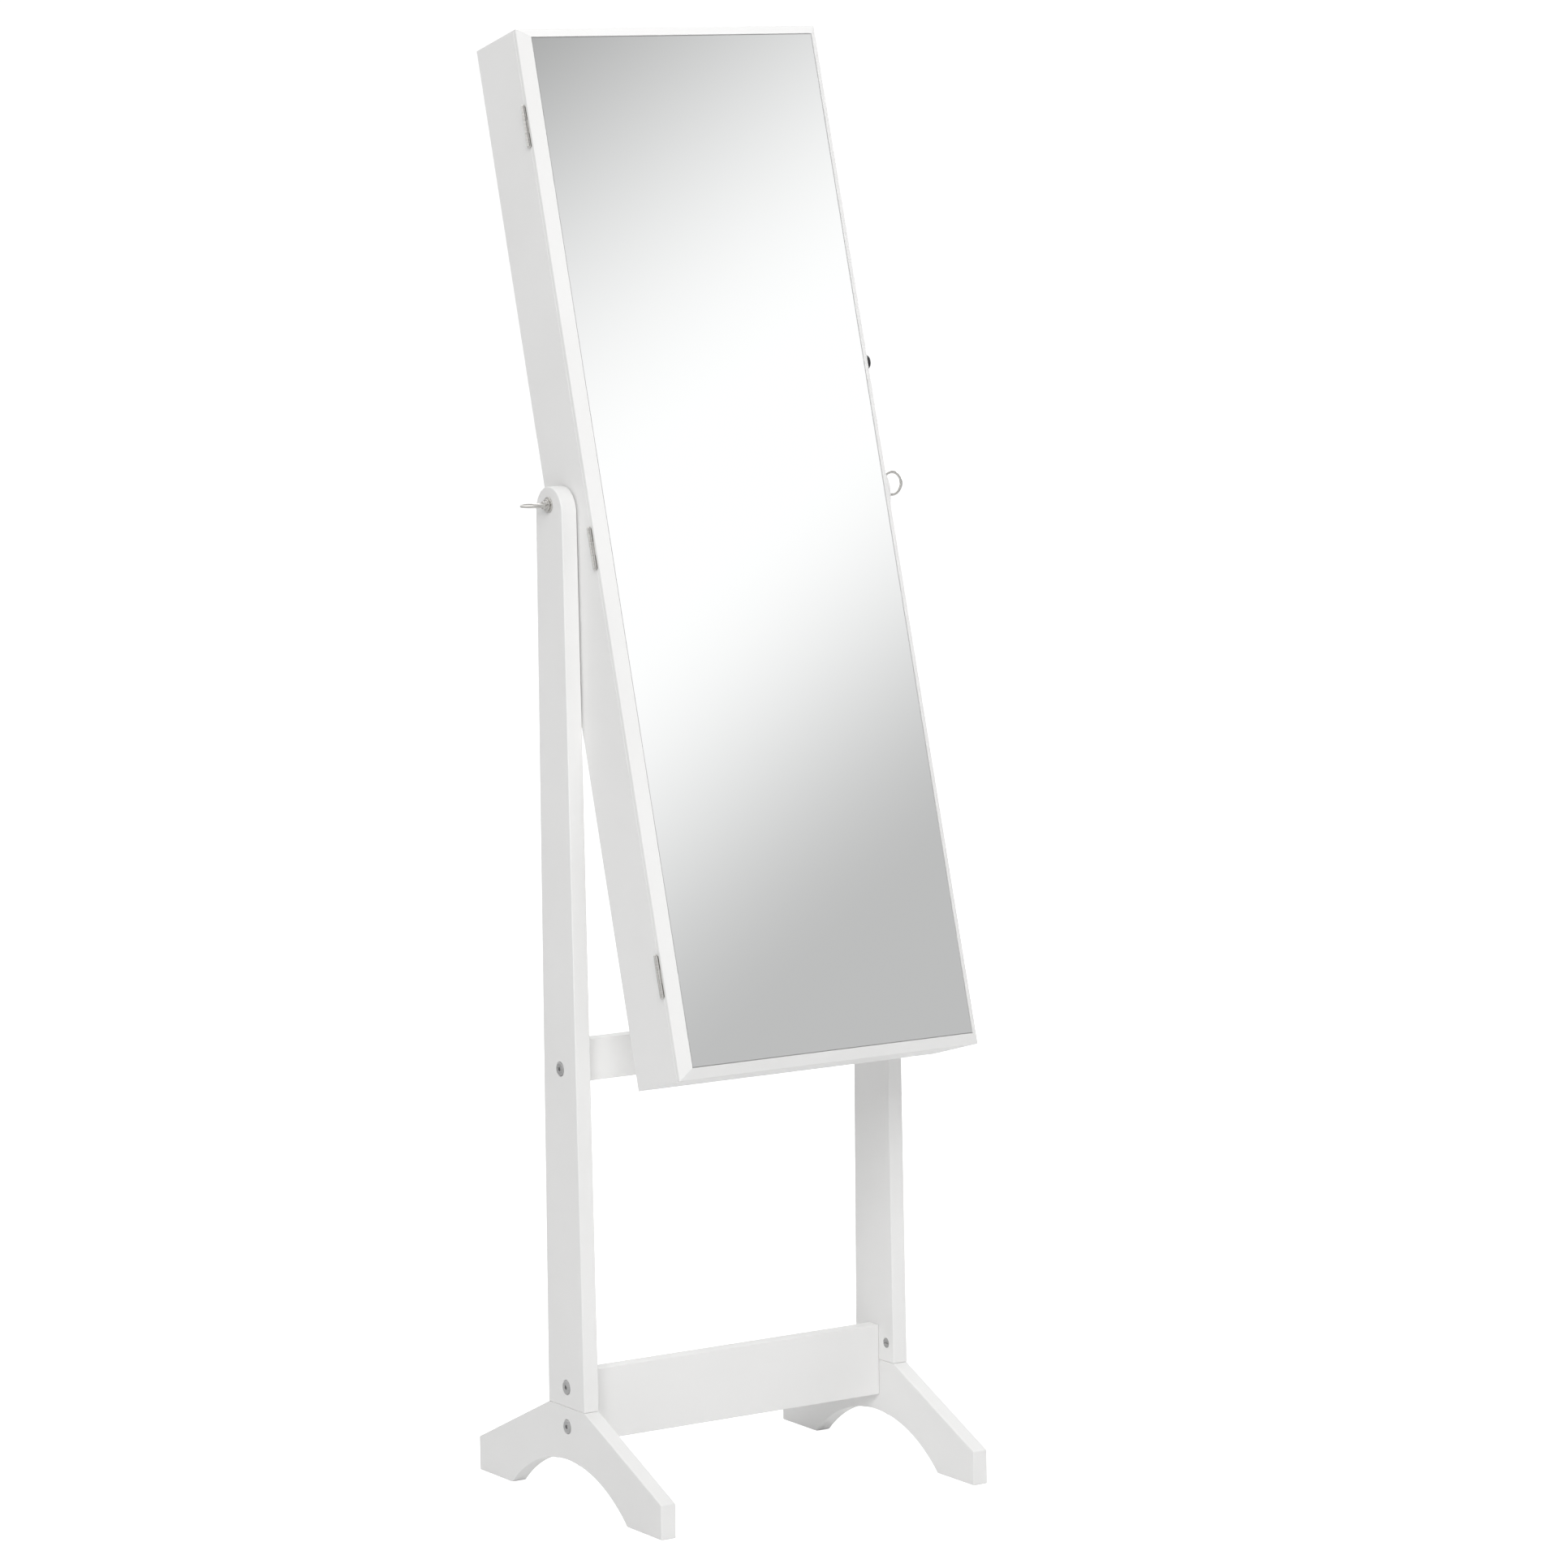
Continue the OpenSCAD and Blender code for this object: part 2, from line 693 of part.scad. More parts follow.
// The hooked cam, unlocked: it points up, and a quarter turn brings the hook forward
module lock_cam() {
    color("silver") in_cabinet() translate([0, lock_y, lock_z]) difference() {
        union() {
            x_rod(5.5, cam_x, cam_x + cam_t);
            side_board([
                [cam_arm, 0], [cam_arm, cam_reach], [-cam_barb, cam_reach],
                [-cam_barb, cam_neck], [-1, cam_neck], [-1, 0],
            ], cam_x, cam_x + cam_t);
        }
        x_rod(2.5, cam_x - 1, cam_x + cam_t + 1);
    }
}

module cam_screw() {
    color("silver") in_cabinet() translate([0, lock_y, lock_z]) union() {
        x_rod(1.5, cam_x - 0.5, cam_x + 6);
        x_rod(3.5, cam_x - 2, cam_x);
    }
}

// A slotted plate sunk in the back of the door, over a pocket that the hook turns into
module keeper_outline(y0, y1) {
    span([cam_x + cam_t / 2 - keeper_w / 2, y0, lock_z - keeper_h / 2 + 8],
         [cam_x + cam_t / 2 + keeper_w / 2, y1, lock_z + keeper_h / 2 + 8]);
}

module slot_space(y0, y1, extra) {
    span([cam_x + cam_t / 2 - slot_w / 2, y0, lock_z - slot_low - extra],
         [cam_x + cam_t / 2 + slot_w / 2, y1, lock_z + slot_high]);
}

module keeper_screw_places() {
    for (z = [lock_z - 9.5, lock_z + 25.5]) translate([cam_x + cam_t / 2, 0, z]) children();
}

module lock_keeper() {
    color("silver") in_cabinet() difference() {
        keeper_outline(-door_back_y - keeper_t, -door_back_y);
        slot_space(-door_back_y - keeper_t - 1, -door_back_y + 1, 0);
        keeper_screw_places() y_rod(screw_r, -door_back_y - keeper_t - 1, -door_back_y + 1);
    }
}

module keeper_screws() {
    color("silver") in_cabinet() keeper_screw_places() union() {
        y_rod(screw_r, -door_back_y - 7, -door_back_y + 0.1);
        y_rod(screw_head_r, -door_back_y, -door_back_y + 0.7);
    }
}

module catch_housing() {
    color("whitesmoke") in_cabinet() difference() {
        span([half_in - catch_w, -carcase_front + 1, catch_z - catch_h / 2],
             [half_in, -carcase_front + 1 + catch_d, catch_z + catch_h / 2]);
        catch_core();
    }
}

module catch_core() {
    span([half_in - catch_w + 2, -carcase_front + 0.6, catch_z - catch_h / 2 + 8],
         [half_in - 3, -carcase_front + 9, catch_z + catch_h / 2 - 8]);
}

module catch_magnet() { color("dimgray") in_cabinet() catch_core(); }

module catch_strike() {
    color("silver") in_cabinet()
        span([half_in - catch_w, -door_back_y, catch_z - strike_h / 2],
             [half_in - 1, -door_back_y + strike_t, catch_z + strike_h / 2]);
}

// ---- Hinges ----

// A knuckle round the pin, from z0 to z1 above a hinge's middle, joined to a leaf at y0 to y1
module knuckle(z0, z1, y0, y1) {
    difference() {
        union() {
            z_rod(knuckle_r, z0, z1, hinge_x, hinge_y);
            span([hinge_x, y0, z0], [-half_cab + 1, y1, z1]);
        }
        z_rod(hinge_pin_r + run_gap, z0 - 1, z1 + 1, hinge_x, hinge_y);
    }
}

module leaf_plate(y0, y1) {
    difference() {
        span([-half_cab, y0, -hinge_l / 2], [-half_cab + leaf_w, y1, hinge_l / 2]);
        for (z = [-1, 1] * leaf_screw_dz) y_rod(screw_r, y0 - 1, y1 + 1, leaf_screw_x, z);
    }
}

module cabinet_hinge_leaves() {
    y0 = hinge_y + leaf_gap / 2;
    y1 = y0 + leaf_t;
    color("silver") in_cabinet() for (z = hinge_z) translate([0, 0, z]) union() {
        leaf_plate(y0, y1);
        knuckle(-hinge_l / 2, -knuckle_l / 2 - knuckle_gap, y0, y1);
        knuckle(knuckle_l / 2 + knuckle_gap, hinge_l / 2, y0, y1);
    }
}

module door_hinge_leaves() {
    y1 = hinge_y - leaf_gap / 2;
    y0 = y1 - leaf_t;
    color("silver") in_cabinet() for (z = hinge_z) translate([0, 0, z]) union() {
        leaf_plate(y0, y1);
        knuckle(-knuckle_l / 2, knuckle_l / 2, y0, y1);
    }
}

module hinge_pins() {
    color("silver") in_cabinet() for (z = hinge_z) translate([hinge_x, hinge_y, z]) union() {
        z_rod(hinge_pin_r, -hinge_l / 2, hinge_l / 2);
        for (end = [0, 1]) mirror([0, 0, end]) translate([0, 0, hinge_l / 2]) difference() {
            sphere(r = knuckle_r);
            z_rod(knuckle_r + 1, -knuckle_r - 1, 0);
        }
    }
}

module leaf_screw_places() {
    for (z = hinge_z) for (dz = [-1, 1] * leaf_screw_dz) translate([leaf_screw_x, 0, z + dz]) children();
}

module cabinet_hinge_screws() {
    color("silver") in_cabinet() leaf_screw_places()
        y_rod(screw_r, hinge_y + leaf_gap / 2, hinge_y + leaf_gap / 2 + screw_l);
}

module door_hinge_screws() {
    color("silver") in_cabinet() leaf_screw_places()
        y_rod(screw_r, hinge_y - leaf_gap / 2 - door_screw_l, hinge_y - leaf_gap / 2);
}

// ---- Door ----

module whole_stile() {
    intersection() {
        translate([-half_cab, 0, -cab_drop]) linear_extrude(height = cab_h) polygon(frame_section);
        front_board([
            [-half_cab, -cab_drop], [-half_cab, cab_top],
            [-half_cab + frame_w, cab_top - frame_w], [-half_cab + frame_w, -cab_drop + frame_w],
        ], -arris_y - 1, 0);
    }
}

module whole_rail() {
    intersection() {
        translate([-half_cab, 0, cab_top]) rotate([0, 90, 0])
            linear_extrude(height = cab_w) polygon(frame_section);
        front_board([
            [-half_cab, cab_top], [half_cab, cab_top],
            [half_cab - frame_w, cab_top - frame_w], [-half_cab + frame_w, cab_top - frame_w],
        ], -arris_y - 1, 0);
    }
}

module door_left_stile() {
    color("white") in_cabinet() difference() {
        whole_stile();
        for (z = hinge_z)
            leaf_recess(z, hinge_y - leaf_gap / 2 - leaf_t, -door_back_y + eps);
    }
}

module door_right_stile() {
    color("white") in_cabinet() difference() {
        mirror([1, 0, 0]) whole_stile();
        keeper_outline(-door_back_y - keeper_t, -door_back_y + 1);
        slot_space(-door_back_y - pocket_d, -door_back_y, cam_barb);
        keeper_screw_places() y_rod(screw_r, -door_back_y - 7, -door_back_y);
    }
}

module door_top_rail() { color("white") in_cabinet() whole_rail(); }

module door_bottom_rail() {
    color("white") in_cabinet() translate([0, 0, cab_top - cab_drop]) mirror([0, 0, 1]) whole_rail();
}

module mirror_glass() {
    edge = bevel_run + glass_gap;
    color("lightgray") in_cabinet()
        span([-half_cab + edge, -ledge_y - glass_t, -cab_drop + edge],
             [half_cab - edge, -ledge_y, cab_top - edge]);
}

module door_back_panel() {
    edge = frame_w;
    color("white") in_cabinet()
        span([-half_cab + edge, -ledge_y, -cab_drop + edge],
             [half_cab - edge, -door_back_y - 1.3, cab_top - edge]);
}

// ---- Ring bolts, drawn for the right side ----

ring_r = (ring_d - ring_wire_d) / 2;
ring_centre = half_stand + washer_t + run_gap + 3 + ring_d / 2;

module ring_bolt() {
    collar_x = half_stand + run_gap + washer_t;
    union() {
        x_rod(pivot_bolt_d / 2, half_cab - insert_l, collar_x + 1);
        x_rod(collar_r, collar_x, collar_x + collar_t);
        x_rod(stem_r, collar_x + 1, ring_centre - ring_r + 1);
    }
}

module tightening_ring() {
    rotate_extrude() translate([ring_r, 0]) circle(r = ring_wire_d / 2, $fn = 32);
}

module ring_washer() {
    difference() {
        x_rod(washer_r, half_stand + run_gap, half_stand + run_gap + washer_t);
        x_rod(pivot_bolt_d / 2, half_stand, half_stand + 5);
    }
}

module left_ring_bolt() {
    color("silver") at_pivot() mirror([1, 0, 0]) union() {
        ring_bolt();
        translate([ring_centre, 0, 0]) tightening_ring();
    }
}

module right_ring_bolt() {
    color("silver") at_pivot() union() {
        ring_bolt();
        translate([ring_centre, 0, 0]) rotate([90, 0, 0]) tightening_ring();
    }
}

module left_washer() { color("silver") at_pivot() mirror([1, 0, 0]) ring_washer(); }
module right_washer() { color("silver") at_pivot() ring_washer(); }

left_upright();
right_upright();
left_foot();
right_foot();
lower_stretcher();
upper_stretcher();
stretcher_bolts();
stretcher_nuts();
foot_bolts();
foot_nuts();
stand_dowels();
left_side();
right_side();
top_panel();
bottom_panel();
back_panel();
back_screws();
lining();
carcase_dowels();
pivot_inserts();
pivot_spacers();
hook_rail();
necklace_hooks();
earring_panel();
earring_standoffs();
ring_tray();
ring_rolls();
bracelet_rod();
rod_brackets();
shelf_1();
shelf_2();
shelf_3();
retaining_rails();
lock_housing();
lock_nut();
catch_housing();
catch_magnet();
cabinet_hinge_leaves();
cabinet_hinge_screws();
hinge_pins();
door_left_stile();
door_right_stile();
door_top_rail();
door_bottom_rail();
mirror_glass();
door_back_panel();
door_hinge_leaves();
door_hinge_screws();
lock_keeper();
keeper_screws();
catch_strike();
left_ring_bolt();
left_washer();
right_ring_bolt();
right_washer();
lock_cylinder();
lock_cam();
cam_screw();
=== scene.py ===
"""Cheval floor mirror: materials, eased edges, velvet rolls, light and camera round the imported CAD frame.

Everything is in metres, in the part's own frame: +Z up, the mirror faces -Y, the floor is Z = 0.
"""
import json
import math

import bmesh
import bpy
from mathutils import Matrix, Vector


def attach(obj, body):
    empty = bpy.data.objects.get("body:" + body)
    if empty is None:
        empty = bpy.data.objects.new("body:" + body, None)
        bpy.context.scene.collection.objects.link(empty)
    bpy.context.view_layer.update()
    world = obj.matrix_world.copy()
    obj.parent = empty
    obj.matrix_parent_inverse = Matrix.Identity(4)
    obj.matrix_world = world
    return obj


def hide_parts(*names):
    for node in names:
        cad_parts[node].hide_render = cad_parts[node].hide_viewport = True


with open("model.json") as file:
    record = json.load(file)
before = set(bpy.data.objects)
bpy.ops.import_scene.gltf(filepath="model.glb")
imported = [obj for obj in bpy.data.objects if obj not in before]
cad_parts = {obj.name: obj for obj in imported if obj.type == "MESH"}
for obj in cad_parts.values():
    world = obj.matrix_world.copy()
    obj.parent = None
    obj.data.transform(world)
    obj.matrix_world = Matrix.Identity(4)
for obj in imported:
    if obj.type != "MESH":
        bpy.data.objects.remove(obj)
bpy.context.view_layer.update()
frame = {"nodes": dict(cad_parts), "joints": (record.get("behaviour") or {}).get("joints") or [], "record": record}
scene = bpy.context.scene
nodes = frame["nodes"]
joints = {joint["name"]: joint for joint in frame["joints"]}

# The leaning cabinet's own axes, about the tilt axis: to the right, in from the front, and up its height
cabinet_up = -Vector(joints["door_swing"]["axis"]).normalized()
cabinet_in = Vector((0, cabinet_up.z, -cabinet_up.y))
cabinet_turn = Matrix(((1, 0, 0), cabinet_in, cabinet_up)).transposed().to_4x4()
pivot = Vector(joints["cabinet_tilt"]["pos_m"])
cabinet_place = Matrix.Translation(pivot) @ cabinet_turn


# ---------------------------------------------------------------- camera

CAMERA_PLACE = (-3.0589, -4.8714, 1.4386)
CAMERA_YAW = math.radians(32.69)     # to the right of straight at the mirror
CAMERA_PITCH = math.radians(-7.22)
CAMERA_ROLL = math.radians(-0.85)
CAMERA_LENS = 133.2                  # mm, for the sensor below
CAMERA_SENSOR = 36.0                 # mm
CAMERA_REACH = (0.1, 60)


def make_camera():
    data = bpy.data.cameras.new("camera")
    data.lens = CAMERA_LENS
    data.sensor_width = CAMERA_SENSOR
    data.clip_start, data.clip_end = CAMERA_REACH
    camera = bpy.data.objects.new("camera", data)
    scene.collection.objects.link(camera)
    forward = Vector((
        math.sin(CAMERA_YAW) * math.cos(CAMERA_PITCH),
        math.cos(CAMERA_YAW) * math.cos(CAMERA_PITCH),
        math.sin(CAMERA_PITCH),
    ))
    level_right = Vector((math.cos(CAMERA_YAW), -math.sin(CAMERA_YAW), 0))
    level_up = level_right.cross(forward)
    right = math.cos(CAMERA_ROLL) * level_right + math.sin(CAMERA_ROLL) * level_up
    up = right.cross(forward)
    turn = Matrix((right, up, -forward)).transposed().to_4x4()
    camera.matrix_world = Matrix.Translation(CAMERA_PLACE) @ turn
    scene.camera = camera


# ---------------------------------------------------------------- node helpers

def new_material(name):
    """A material with a Principled shader; returns (material, tree, shader)."""
    material = bpy.data.materials.new(name)
    material.use_nodes = True
    tree = material.node_tree
    return material, tree, tree.nodes["Principled BSDF"]


def add(tree, kind, **settings):
    """Adds a node; a setting names a socket if the node has one of that name, and a property otherwise."""
    node = tree.nodes.new(kind)
    for key, value in settings.items():
        name = key.replace("_", " ")
        if name in node.inputs:
            node.inputs[name].default_value = value
        else:
            setattr(node, key, value)
    return node


def object_coords(tree, stretch=(1, 1, 1)):
    """The object's own coordinates, closer together along an axis where stretch is larger."""
    coords = add(tree, "ShaderNodeTexCoord")
    mapping = add(tree, "ShaderNodeMapping")
    mapping.inputs["Scale"].default_value = stretch
    tree.links.new(coords.outputs["Object"], mapping.inputs["Vector"])
    return mapping.outputs["Vector"]


def noise(tree, vector, scale, detail=4.0, roughness=0.5):
    node = add(tree, "ShaderNodeTexNoise", Scale=scale, Detail=detail, Roughness=roughness)
    tree.links.new(vector, node.inputs["Vector"])
    return node.outputs["Fac"]


def ramp(tree, value, low, high, at=(0.0, 1.0)):
    """A colour ramp between two colours at two positions."""
    node = add(tree, "ShaderNodeValToRGB")
    first, last = node.color_ramp.elements
    first.position, last.position = at
    first.color, last.color = (*low, 1), (*high, 1)
    tree.links.new(value, node.inputs["Fac"])
    return node.outputs["Color"]


def spread(tree, value, low, high):
    """Maps 0..1 to low..high."""
    node = add(tree, "ShaderNodeMapRange")
    node.inputs["To Min"].default_value = low
    node.inputs["To Max"].default_value = high
    tree.links.new(value, node.inputs["Value"])
    return node.outputs["Result"]


def bump(tree, shader, height, distance, strength=1.0, normal=None):
    """Bumps the shader's normal by a height, on top of another bump where one is given."""
    node = add(tree, "ShaderNodeBump", Distance=distance, Strength=strength)
    tree.links.new(height, node.inputs["Height"])
    if normal is not None:
        tree.links.new(normal, node.inputs["Normal"])
    tree.links.new(node.outputs["Normal"], shader.inputs["Normal"])
    return node.outputs["Normal"]


# ---------------------------------------------------------------- materials

def white_paint():
    """Sprayed satin paint on fibreboard: a faint orange peel and a slight drift of tone."""
    material, tree, shader = new_material("white_paint")
    vector = object_coords(tree)
    tone = noise(tree, vector, 6, 3)
    colour = ramp(tree, tone, (0.83, 0.828, 0.82), (0.86, 0.858, 0.852), (0.3, 0.7))
    tree.links.new(colour, shader.inputs["Base Color"])
    tree.links.new(spread(tree, noise(tree, vector, 40, 2), 0.36, 0.46), shader.inputs["Roughness"])
    bump(tree, shader, noise(tree, vector, 900, 2), 0.00006, 0.35)
    shader.inputs["Specular IOR Level"].default_value = 0.45
    return material


def white_board():
    """The smooth white face of hardboard, duller than the paint."""
    material, tree, shader = new_material("white_board")
    vector = object_coords(tree)
    tone = noise(tree, vector, 12, 5)
    colour = ramp(tree, tone, (0.775, 0.773, 0.762), (0.79, 0.788, 0.778), (0.35, 0.65))
    tree.links.new(colour, shader.inputs["Base Color"])
    shader.inputs["Roughness"].default_value = 0.6
    bump(tree, shader, noise(tree, vector, 500, 3), 0.0001, 0.3)
    return material


def metal(name, colour_low, colour_high, rough_low, rough_high):
    """Plated metal with a fine grain across its height."""
    material, tree, shader = new_material(name)
    vector = object_coords(tree, (1, 1, 12))
    tone = noise(tree, vector, 160, 4)
    tree.links.new(ramp(tree, tone, colour_low, colour_high, (0.3, 0.7)), shader.inputs["Base Color"])
    tree.links.new(spread(tree, tone, rough_low, rough_high), shader.inputs["Roughness"])
    shader.inputs["Metallic"].default_value = 1.0
    bump(tree, shader, noise(tree, vector, 600, 2), 0.00002, 0.5)
    return material


def mirror_material():
    """Silvered glass: a clean reflection, with a trace of green and of dust in its gloss."""
    material, tree, shader = new_material("mirror")
    vector = object_coords(tree)
    colour = ramp(tree, noise(tree, vector, 2, 2), (0.955, 0.965, 0.962), (0.965, 0.972, 0.97))
    tree.links.new(colour, shader.inputs["Base Color"])
    shader.inputs["Metallic"].default_value = 1.0
    tree.links.new(spread(tree, noise(tree, vector, 30, 3), 0.0, 0.012), shader.inputs["Roughness"])
    return material


def clear_plastic():
    """Clear acrylic with a slightly uneven gloss."""
    material, tree, shader = new_material("clear_plastic")
    vector = object_coords(tree)
    shader.inputs["Base Color"].default_value = (0.93, 0.95, 0.955, 1)
    shader.inputs["Transmission Weight"].default_value = 0.85
    shader.inputs["IOR"].default_value = 1.49
    tree.links.new(spread(tree, noise(tree, vector, 60, 3), 0.03, 0.1), shader.inputs["Roughness"])
    return material


def beech():
    """Plain beech of the dowels, with its grain along Z."""
    material, tree, shader = new_material("beech")
    vector = object_coords(tree, (14, 14, 2))
    grain = noise(tree, vector, 22, 6, 0.6)
    tree.links.new(ramp(tree, grain, (0.42, 0.26, 0.13), (0.62, 0.43, 0.25), (0.35, 0.65)),
                   shader.inputs["Base Color"])
    shader.inputs["Roughness"].default_value = 0.6
    bump(tree, shader, grain, 0.0002, 0.4)
    return material


def velvet():
    """Short black pile: dark face, pale sheen and a crushed, mottled nap."""
    material, tree, shader = new_material("velvet")
    vector = object_coords(tree)
    nap = noise(tree, vector, 45, 6, 0.6)
    pile = noise(tree, vector, 2200, 2)
    tree.links.new(ramp(tree, nap, (0.014, 0.014, 0.016), (0.026, 0.026, 0.029), (0.35, 0.7)),
                   shader.inputs["Base Color"])
    shader.inputs["Roughness"].default_value = 0.95
    shader.inputs["Sheen Weight"].default_value = 0.7
    shader.inputs["Sheen Roughness"].default_value = 0.4
    shader.inputs["Sheen Tint"].default_value = (0.75, 0.75, 0.8, 1)
    first = bump(tree, shader, nap, 0.0006, 0.5)
    bump(tree, shader, pile, 0.0004, 0.7, first)
    return material


def plastic(name, low, high, rough):
    """Moulded plastic with a fine matt skin."""
    material, tree, shader = new_material(name)
    vector = object_coords(tree)
    tone = noise(tree, vector, 90, 3)
    tree.links.new(ramp(tree, tone, low, high, (0.3, 0.7)), shader.inputs["Base Color"])
    shader.inputs["Roughness"].default_value = rough
    bump(tree, shader, noise(tree, vector, 1200, 2), 0.00005, 0.4)
    return material


MATERIALS = {
    "white_paint": white_paint(),
    "white_board": white_board(),
    "steel": metal("steel", (0.34, 0.34, 0.34), (0.5, 0.5, 0.5), 0.25, 0.4),
    "nickel": metal("nickel", (0.54, 0.53, 0.51), (0.68, 0.67, 0.65), 0.1, 0.2),
    "clear_plastic": clear_plastic(),
    "beech": beech(),
    "velvet": velvet(),
    "hook_brass": metal("hook_brass", (0.72, 0.52, 0.24), (0.84, 0.64, 0.34), 0.15, 0.28),
    "white_plastic": plastic("white_plastic", (0.78, 0.78, 0.76), (0.82, 0.82, 0.8), 0.5),
    "magnet_black": plastic("magnet_black", (0.03, 0.03, 0.03), (0.05, 0.05, 0.05), 0.7),
    "lock_black": plastic("lock_black", (0.008, 0.008, 0.009), (0.016, 0.016, 0.018), 0.35),
    "mirror": mirror_material(),
}


def dress_cad_nodes():
    """Gives every CAD node the material that the frame's record names for it."""
    for entry in frame["record"]["subparts"]:
        mesh = nodes[entry["node"]].data
        mesh.materials.clear()
        mesh.materials.append(MATERIALS[entry["material_slot"]])


# ---------------------------------------------------------------- eased edges

# Radius of the rounding, and the nodes that have it
EASED = {
    0.0011: ["left_upright", "right_upright", "left_foot", "right_foot",
             "lower_stretcher", "upper_stretcher"],
    0.0006: ["shelf_1", "shelf_2", "shelf_3", "hook_rail", "ring_tray", "rod_brackets", "catch_housing"],
    0.0004: ["left_side", "right_side", "top_panel", "bottom_panel",
             "door_left_stile", "door_right_stile", "door_top_rail", "door_bottom_rail",
             "left_washer", "right_washer", "lock_housing"],
    0.0003: ["stretcher_bolts", "foot_bolts", "earring_panel", "left_ring_bolt", "right_ring_bolt"],
}
WELD_REACH = 1e-5
FLAT_ANGLE = math.radians(0.5)       # faces that meet flatter than this become one
SHARP_ANGLE = math.radians(35)       # edges sharper than this are rounded
ROUNDING_STEPS = 3


def ease_edges(node, radius):
    """Rounds a node's sharp edges by modifiers: join the corners, merge flat faces, then bevel."""
    weld = node.modifiers.new("weld", "WELD")
    weld.merge_threshold = WELD_REACH
    flat = node.modifiers.new("flat", "DECIMATE")
    flat.decimate_type = "DISSOLVE"
    flat.angle_limit = FLAT_ANGLE
    bevel = node.modifiers.new("bevel", "BEVEL")
    bevel.width = radius
    bevel.segments = ROUNDING_STEPS
    bevel.limit_method = "ANGLE"
    bevel.angle_limit = SHARP_ANGLE
    bevel.harden_normals = True
    bevel.use_clamp_overlap = False
    bevel.loop_slide = False


# ---------------------------------------------------------------- velvet rolls

ROLL_SIDES = 40
ROLL_STEPS = 72
RING_ROLLS = 5
RING_ROLL_END = 0.006                # length over which a ring roll closes at each end
BRACELET_ROLL_END = 0.003


def cabinet_box(name):
    """A CAD node's lowest and highest corners along the leaning cabinet's own axes."""
    back = cabinet_place.inverted()
    points = [back @ vertex.co for vertex in nodes[name].data.vertices]
    return [[pick(point[axis] for point in points) for axis in range(3)] for pick in (min, max)]


def add_roll(mesh, x0, x1, y, z, radius, round_end, turn):
    """A stuffed roll along X: full in the middle, with gathered round ends and a slightly uneven skin."""
    middle, half = (x0 + x1) / 2, (x1 - x0) / 2
    rings = []
    for step in range(ROLL_STEPS + 1):
        # closer rings towards the ends, where the roll closes
        x = middle - half * math.cos(math.pi * step / ROLL_STEPS)
        past = max(0.0, (abs(x - middle) - (half - round_end)) / round_end)
        full = math.sqrt(max(0.0, 1 - min(1.0, past) ** 2)) * 0.94 + 0.06 * (1 - past)
        ring = []
        for index in range(ROLL_SIDES):
            angle = 2 * math.pi * index / ROLL_SIDES
            long_wave = 0.012 * math.sin(90 * x + 2 * angle + turn)
            short_wave = 0.01 * math.sin(210 * x - 3 * angle + 2 * turn)
            gather = 0.05 * past * (1 + math.cos(10 * angle + turn))
            # 0.976 keeps the highest waves inside the radius
            reach = radius * full * (0.976 + (long_wave + short_wave) - gather)
            ring.append(mesh.verts.new((x, y + reach * math.cos(angle), z + reach * math.sin(angle))))
        rings.append(ring)
    for near, far in zip(rings, rings[1:]):
        for index in range(ROLL_SIDES):
            after = (index + 1) % ROLL_SIDES
            mesh.faces.new((near[index], near[after], far[after], far[index]))
    mesh.faces.new(list(reversed(rings[0])))
    mesh.faces.new(rings[-1])


def velvet_piece(name, mesh, node):
    """Finishes a padded piece that stands for a CAD node, and rides with the cabinet."""
    bmesh.ops.recalc_face_normals(mesh, faces=mesh.faces)
    data = bpy.data.meshes.new(name)
    mesh.to_mesh(data)
    mesh.free()
    data.transform(cabinet_place)
    data.shade_smooth()
    data.materials.append(MATERIALS["velvet"])
    piece = bpy.data.objects.new(name, data)
    scene.collection.objects.link(piece)
    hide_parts(node)
    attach(piece, "cabinet")


def make_ring_rolls():
    """The rolls that hold rings between them, one above the other in the tray."""
    low, high = cabinet_box("ring_rolls")
    radius = (high[1] - low[1]) / 2
    pitch = (high[2] - low[2] - 2 * radius) / (RING_ROLLS - 1)
    mesh = bmesh.new()
    for index in range(RING_ROLLS):
        add_roll(mesh, low[0], high[0], (low[1] + high[1]) / 2, low[2] + radius + index * pitch, radius,
                 RING_ROLL_END, 1.7 * index)
    velvet_piece("velvet_ring_rolls", mesh, "ring_rolls")


def make_bracelet_roll():
    """The roll that bracelets hang on, between its two brackets."""
    low, high = cabinet_box("bracelet_rod")
    mesh = bmesh.new()
    add_roll(mesh, low[0], high[0], (low[1] + high[1]) / 2, (low[2] + high[2]) / 2, (high[1] - low[1]) / 2,
             BRACELET_ROLL_END, 0.4)
    velvet_piece("velvet_bracelet_roll", mesh, "bracelet_rod")


# ---------------------------------------------------------------- stage

STAGE_REACH = 14                     # half the width of the floor and of the card, and the card's height
FLOOR_GLOW = 0.8                     # seen by the camera only
CARD_PLACE = -2.19                   # Y of the card that stands in front, facing the mirror
CARD_SLOPE = 0.59                    # rise of the card's white band towards +X
# Height at X = 0 and brightness: the white band with grey above and below, then soft greys for other views
CARD_BAND = ((0.45, 0.53), (1.08, 1.04), (1.26, 1.04), (2.28, 0.28), (4.5, 0.85), (7, 0.6), (11, 0.9))
WORLD_SEEN = 1.05
WORLD_LIGHT = 0.36
LIGHTS = {                           # place, size and power
    "key": ((-2.8, -4.0, 3.5), 2.8, 170),
    "overhead": ((0.2, 1.6, 5.0), 4, 75),
    "side": ((5.5, -0.6, 2.6), 3, 110),
}
LIGHT_TARGET = (0, 0, 0.75)


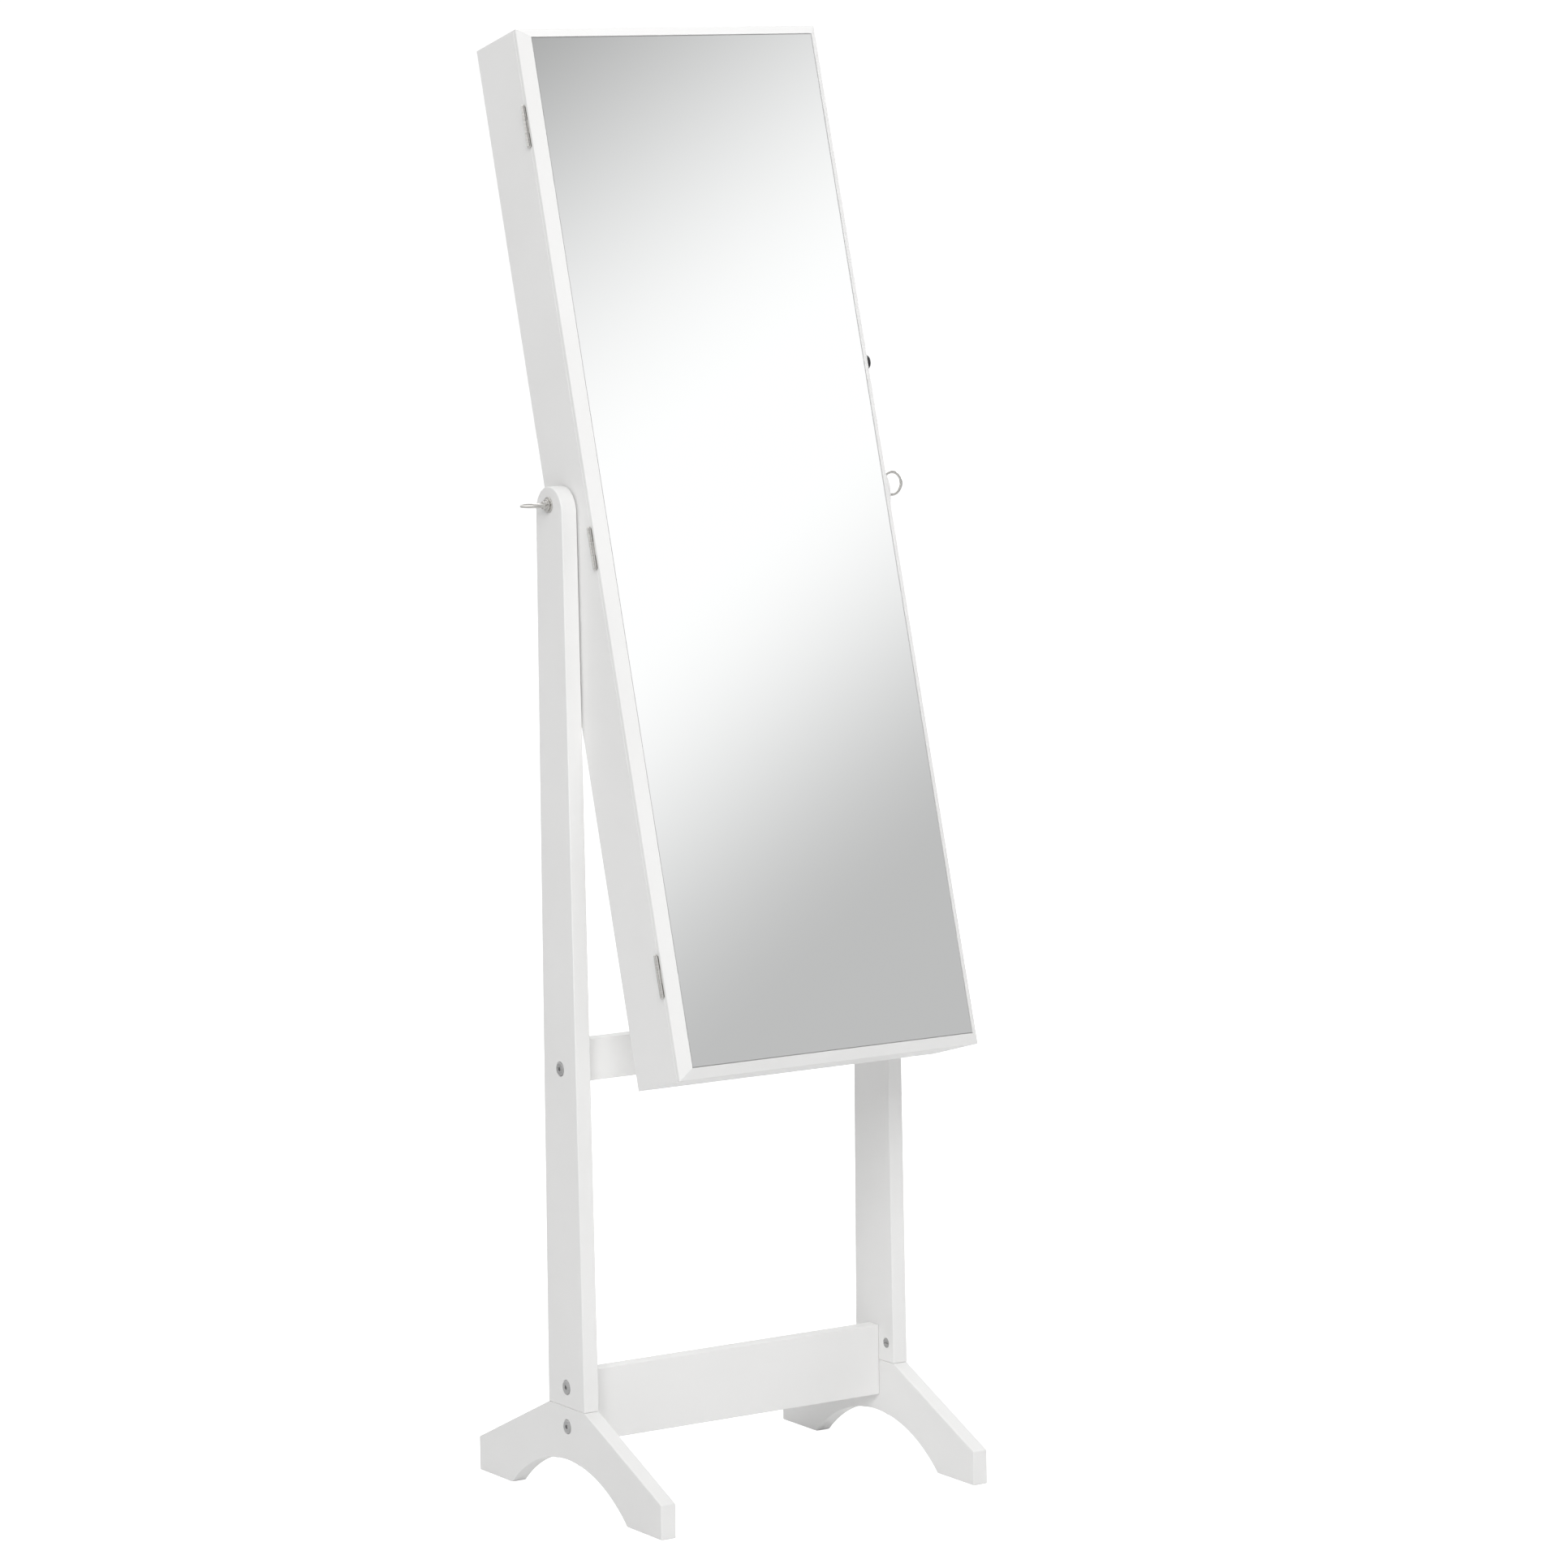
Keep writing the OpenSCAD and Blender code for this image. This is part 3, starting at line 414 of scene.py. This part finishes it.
def card_material():
    """The big soft card that the mirror reflects: a white band that rises to the right, greyer round it."""
    material = bpy.data.materials.new("card")
    material.use_nodes = True
    tree = material.node_tree
    tree.nodes.clear()
    output = add(tree, "ShaderNodeOutputMaterial")
    emission = add(tree, "ShaderNodeEmission")
    split = add(tree, "ShaderNodeSeparateXYZ")
    tree.links.new(object_coords(tree), split.inputs["Vector"])
    across = add(tree, "ShaderNodeMath", operation="MULTIPLY_ADD")
    tree.links.new(split.outputs["X"], across.inputs[0])
    across.inputs[1].default_value = -CARD_SLOPE
    tree.links.new(split.outputs["Z"], across.inputs[2])
    low, high = CARD_BAND[0][0], CARD_BAND[-1][0]
    place = add(tree, "ShaderNodeMapRange")
    place.inputs["From Min"].default_value = low
    place.inputs["From Max"].default_value = high
    tree.links.new(across.outputs["Value"], place.inputs["Value"])
    gradient = add(tree, "ShaderNodeValToRGB")
    gradient.color_ramp.interpolation = "EASE"
    stops = gradient.color_ramp.elements
    stops[1].position = 1
    for height, _ in CARD_BAND[1:-1]:
        stops.new((height - low) / (high - low))
    for stop, (_, level) in zip(stops, CARD_BAND):
        stop.color = (level, level, level, 1)
    tree.links.new(place.outputs["Result"], gradient.inputs["Fac"])
    tree.links.new(gradient.outputs["Color"], emission.inputs["Color"])
    tree.links.new(emission.outputs["Emission"], output.inputs["Surface"])
    return material


def stage_sheet(name, corners, material):
    """One flat face of the stage."""
    mesh = bpy.data.meshes.new(name)
    mesh.from_pydata(corners, [], [range(len(corners))])
    mesh.materials.append(material)
    sheet = bpy.data.objects.new(name, mesh)
    scene.collection.objects.link(sheet)
    return sheet


def make_floor():
    """A pale matt floor that looks as white as the backdrop, without lighting the object more."""
    material, tree, shader = new_material("floor")
    shader.inputs["Base Color"].default_value = (0.9, 0.9, 0.9, 1)
    shader.inputs["Roughness"].default_value = 0.9
    shader.inputs["Specular IOR Level"].default_value = 0.1
    shader.inputs["Emission Color"].default_value = (1, 1, 1, 1)
    path = add(tree, "ShaderNodeLightPath")
    glow = spread(tree, path.outputs["Is Camera Ray"], 0, FLOOR_GLOW)
    tree.links.new(glow, shader.inputs["Emission Strength"])
    reach = STAGE_REACH
    corners = [(-reach, -reach, 0), (reach, -reach, 0), (reach, reach, 0), (-reach, reach, 0)]
    stage_sheet("floor", corners, material)


def make_card():
    """The card, which only reflections see."""
    reach = STAGE_REACH
    corners = [(-reach, CARD_PLACE, 0), (reach, CARD_PLACE, 0),
               (reach, CARD_PLACE, reach), (-reach, CARD_PLACE, reach)]
    card = stage_sheet("card", corners, card_material())
    card.visible_camera = False
    card.visible_diffuse = False
    card.visible_shadow = False
    card.visible_transmission = False


def soft_light(name, place, size, power):
    """A square soft light that faces the middle of the object."""
    data = bpy.data.lights.new(name, "AREA")
    data.size = size
    data.energy = power
    light = bpy.data.objects.new(name, data)
    light.location = place
    light.rotation_mode = "QUATERNION"
    light.rotation_quaternion = (Vector(place) - Vector(LIGHT_TARGET)).to_track_quat("Z", "Y")
    scene.collection.objects.link(light)


def make_world():
    """White to the camera and in reflections, and a softer grey where it only lights the object."""
    world = bpy.data.worlds.new("world")
    world.use_nodes = True
    tree = world.node_tree
    background = tree.nodes["Background"]
    path = add(tree, "ShaderNodeLightPath")
    strength = spread(tree, path.outputs["Is Diffuse Ray"], WORLD_SEEN, WORLD_LIGHT)
    background.inputs["Color"].default_value = (1, 1, 1, 1)
    tree.links.new(strength, background.inputs["Strength"])
    scene.world = world
    scene.view_settings.view_transform = "Standard"


def make_stage():
    make_floor()
    make_card()
    make_world()
    for name, (place, size, power) in LIGHTS.items():
        soft_light(name, place, size, power)


make_camera()
dress_cad_nodes()
for radius, names in EASED.items():
    for name in names:
        ease_edges(nodes[name], radius)
make_ring_rolls()
make_bracelet_roll()
make_stage()
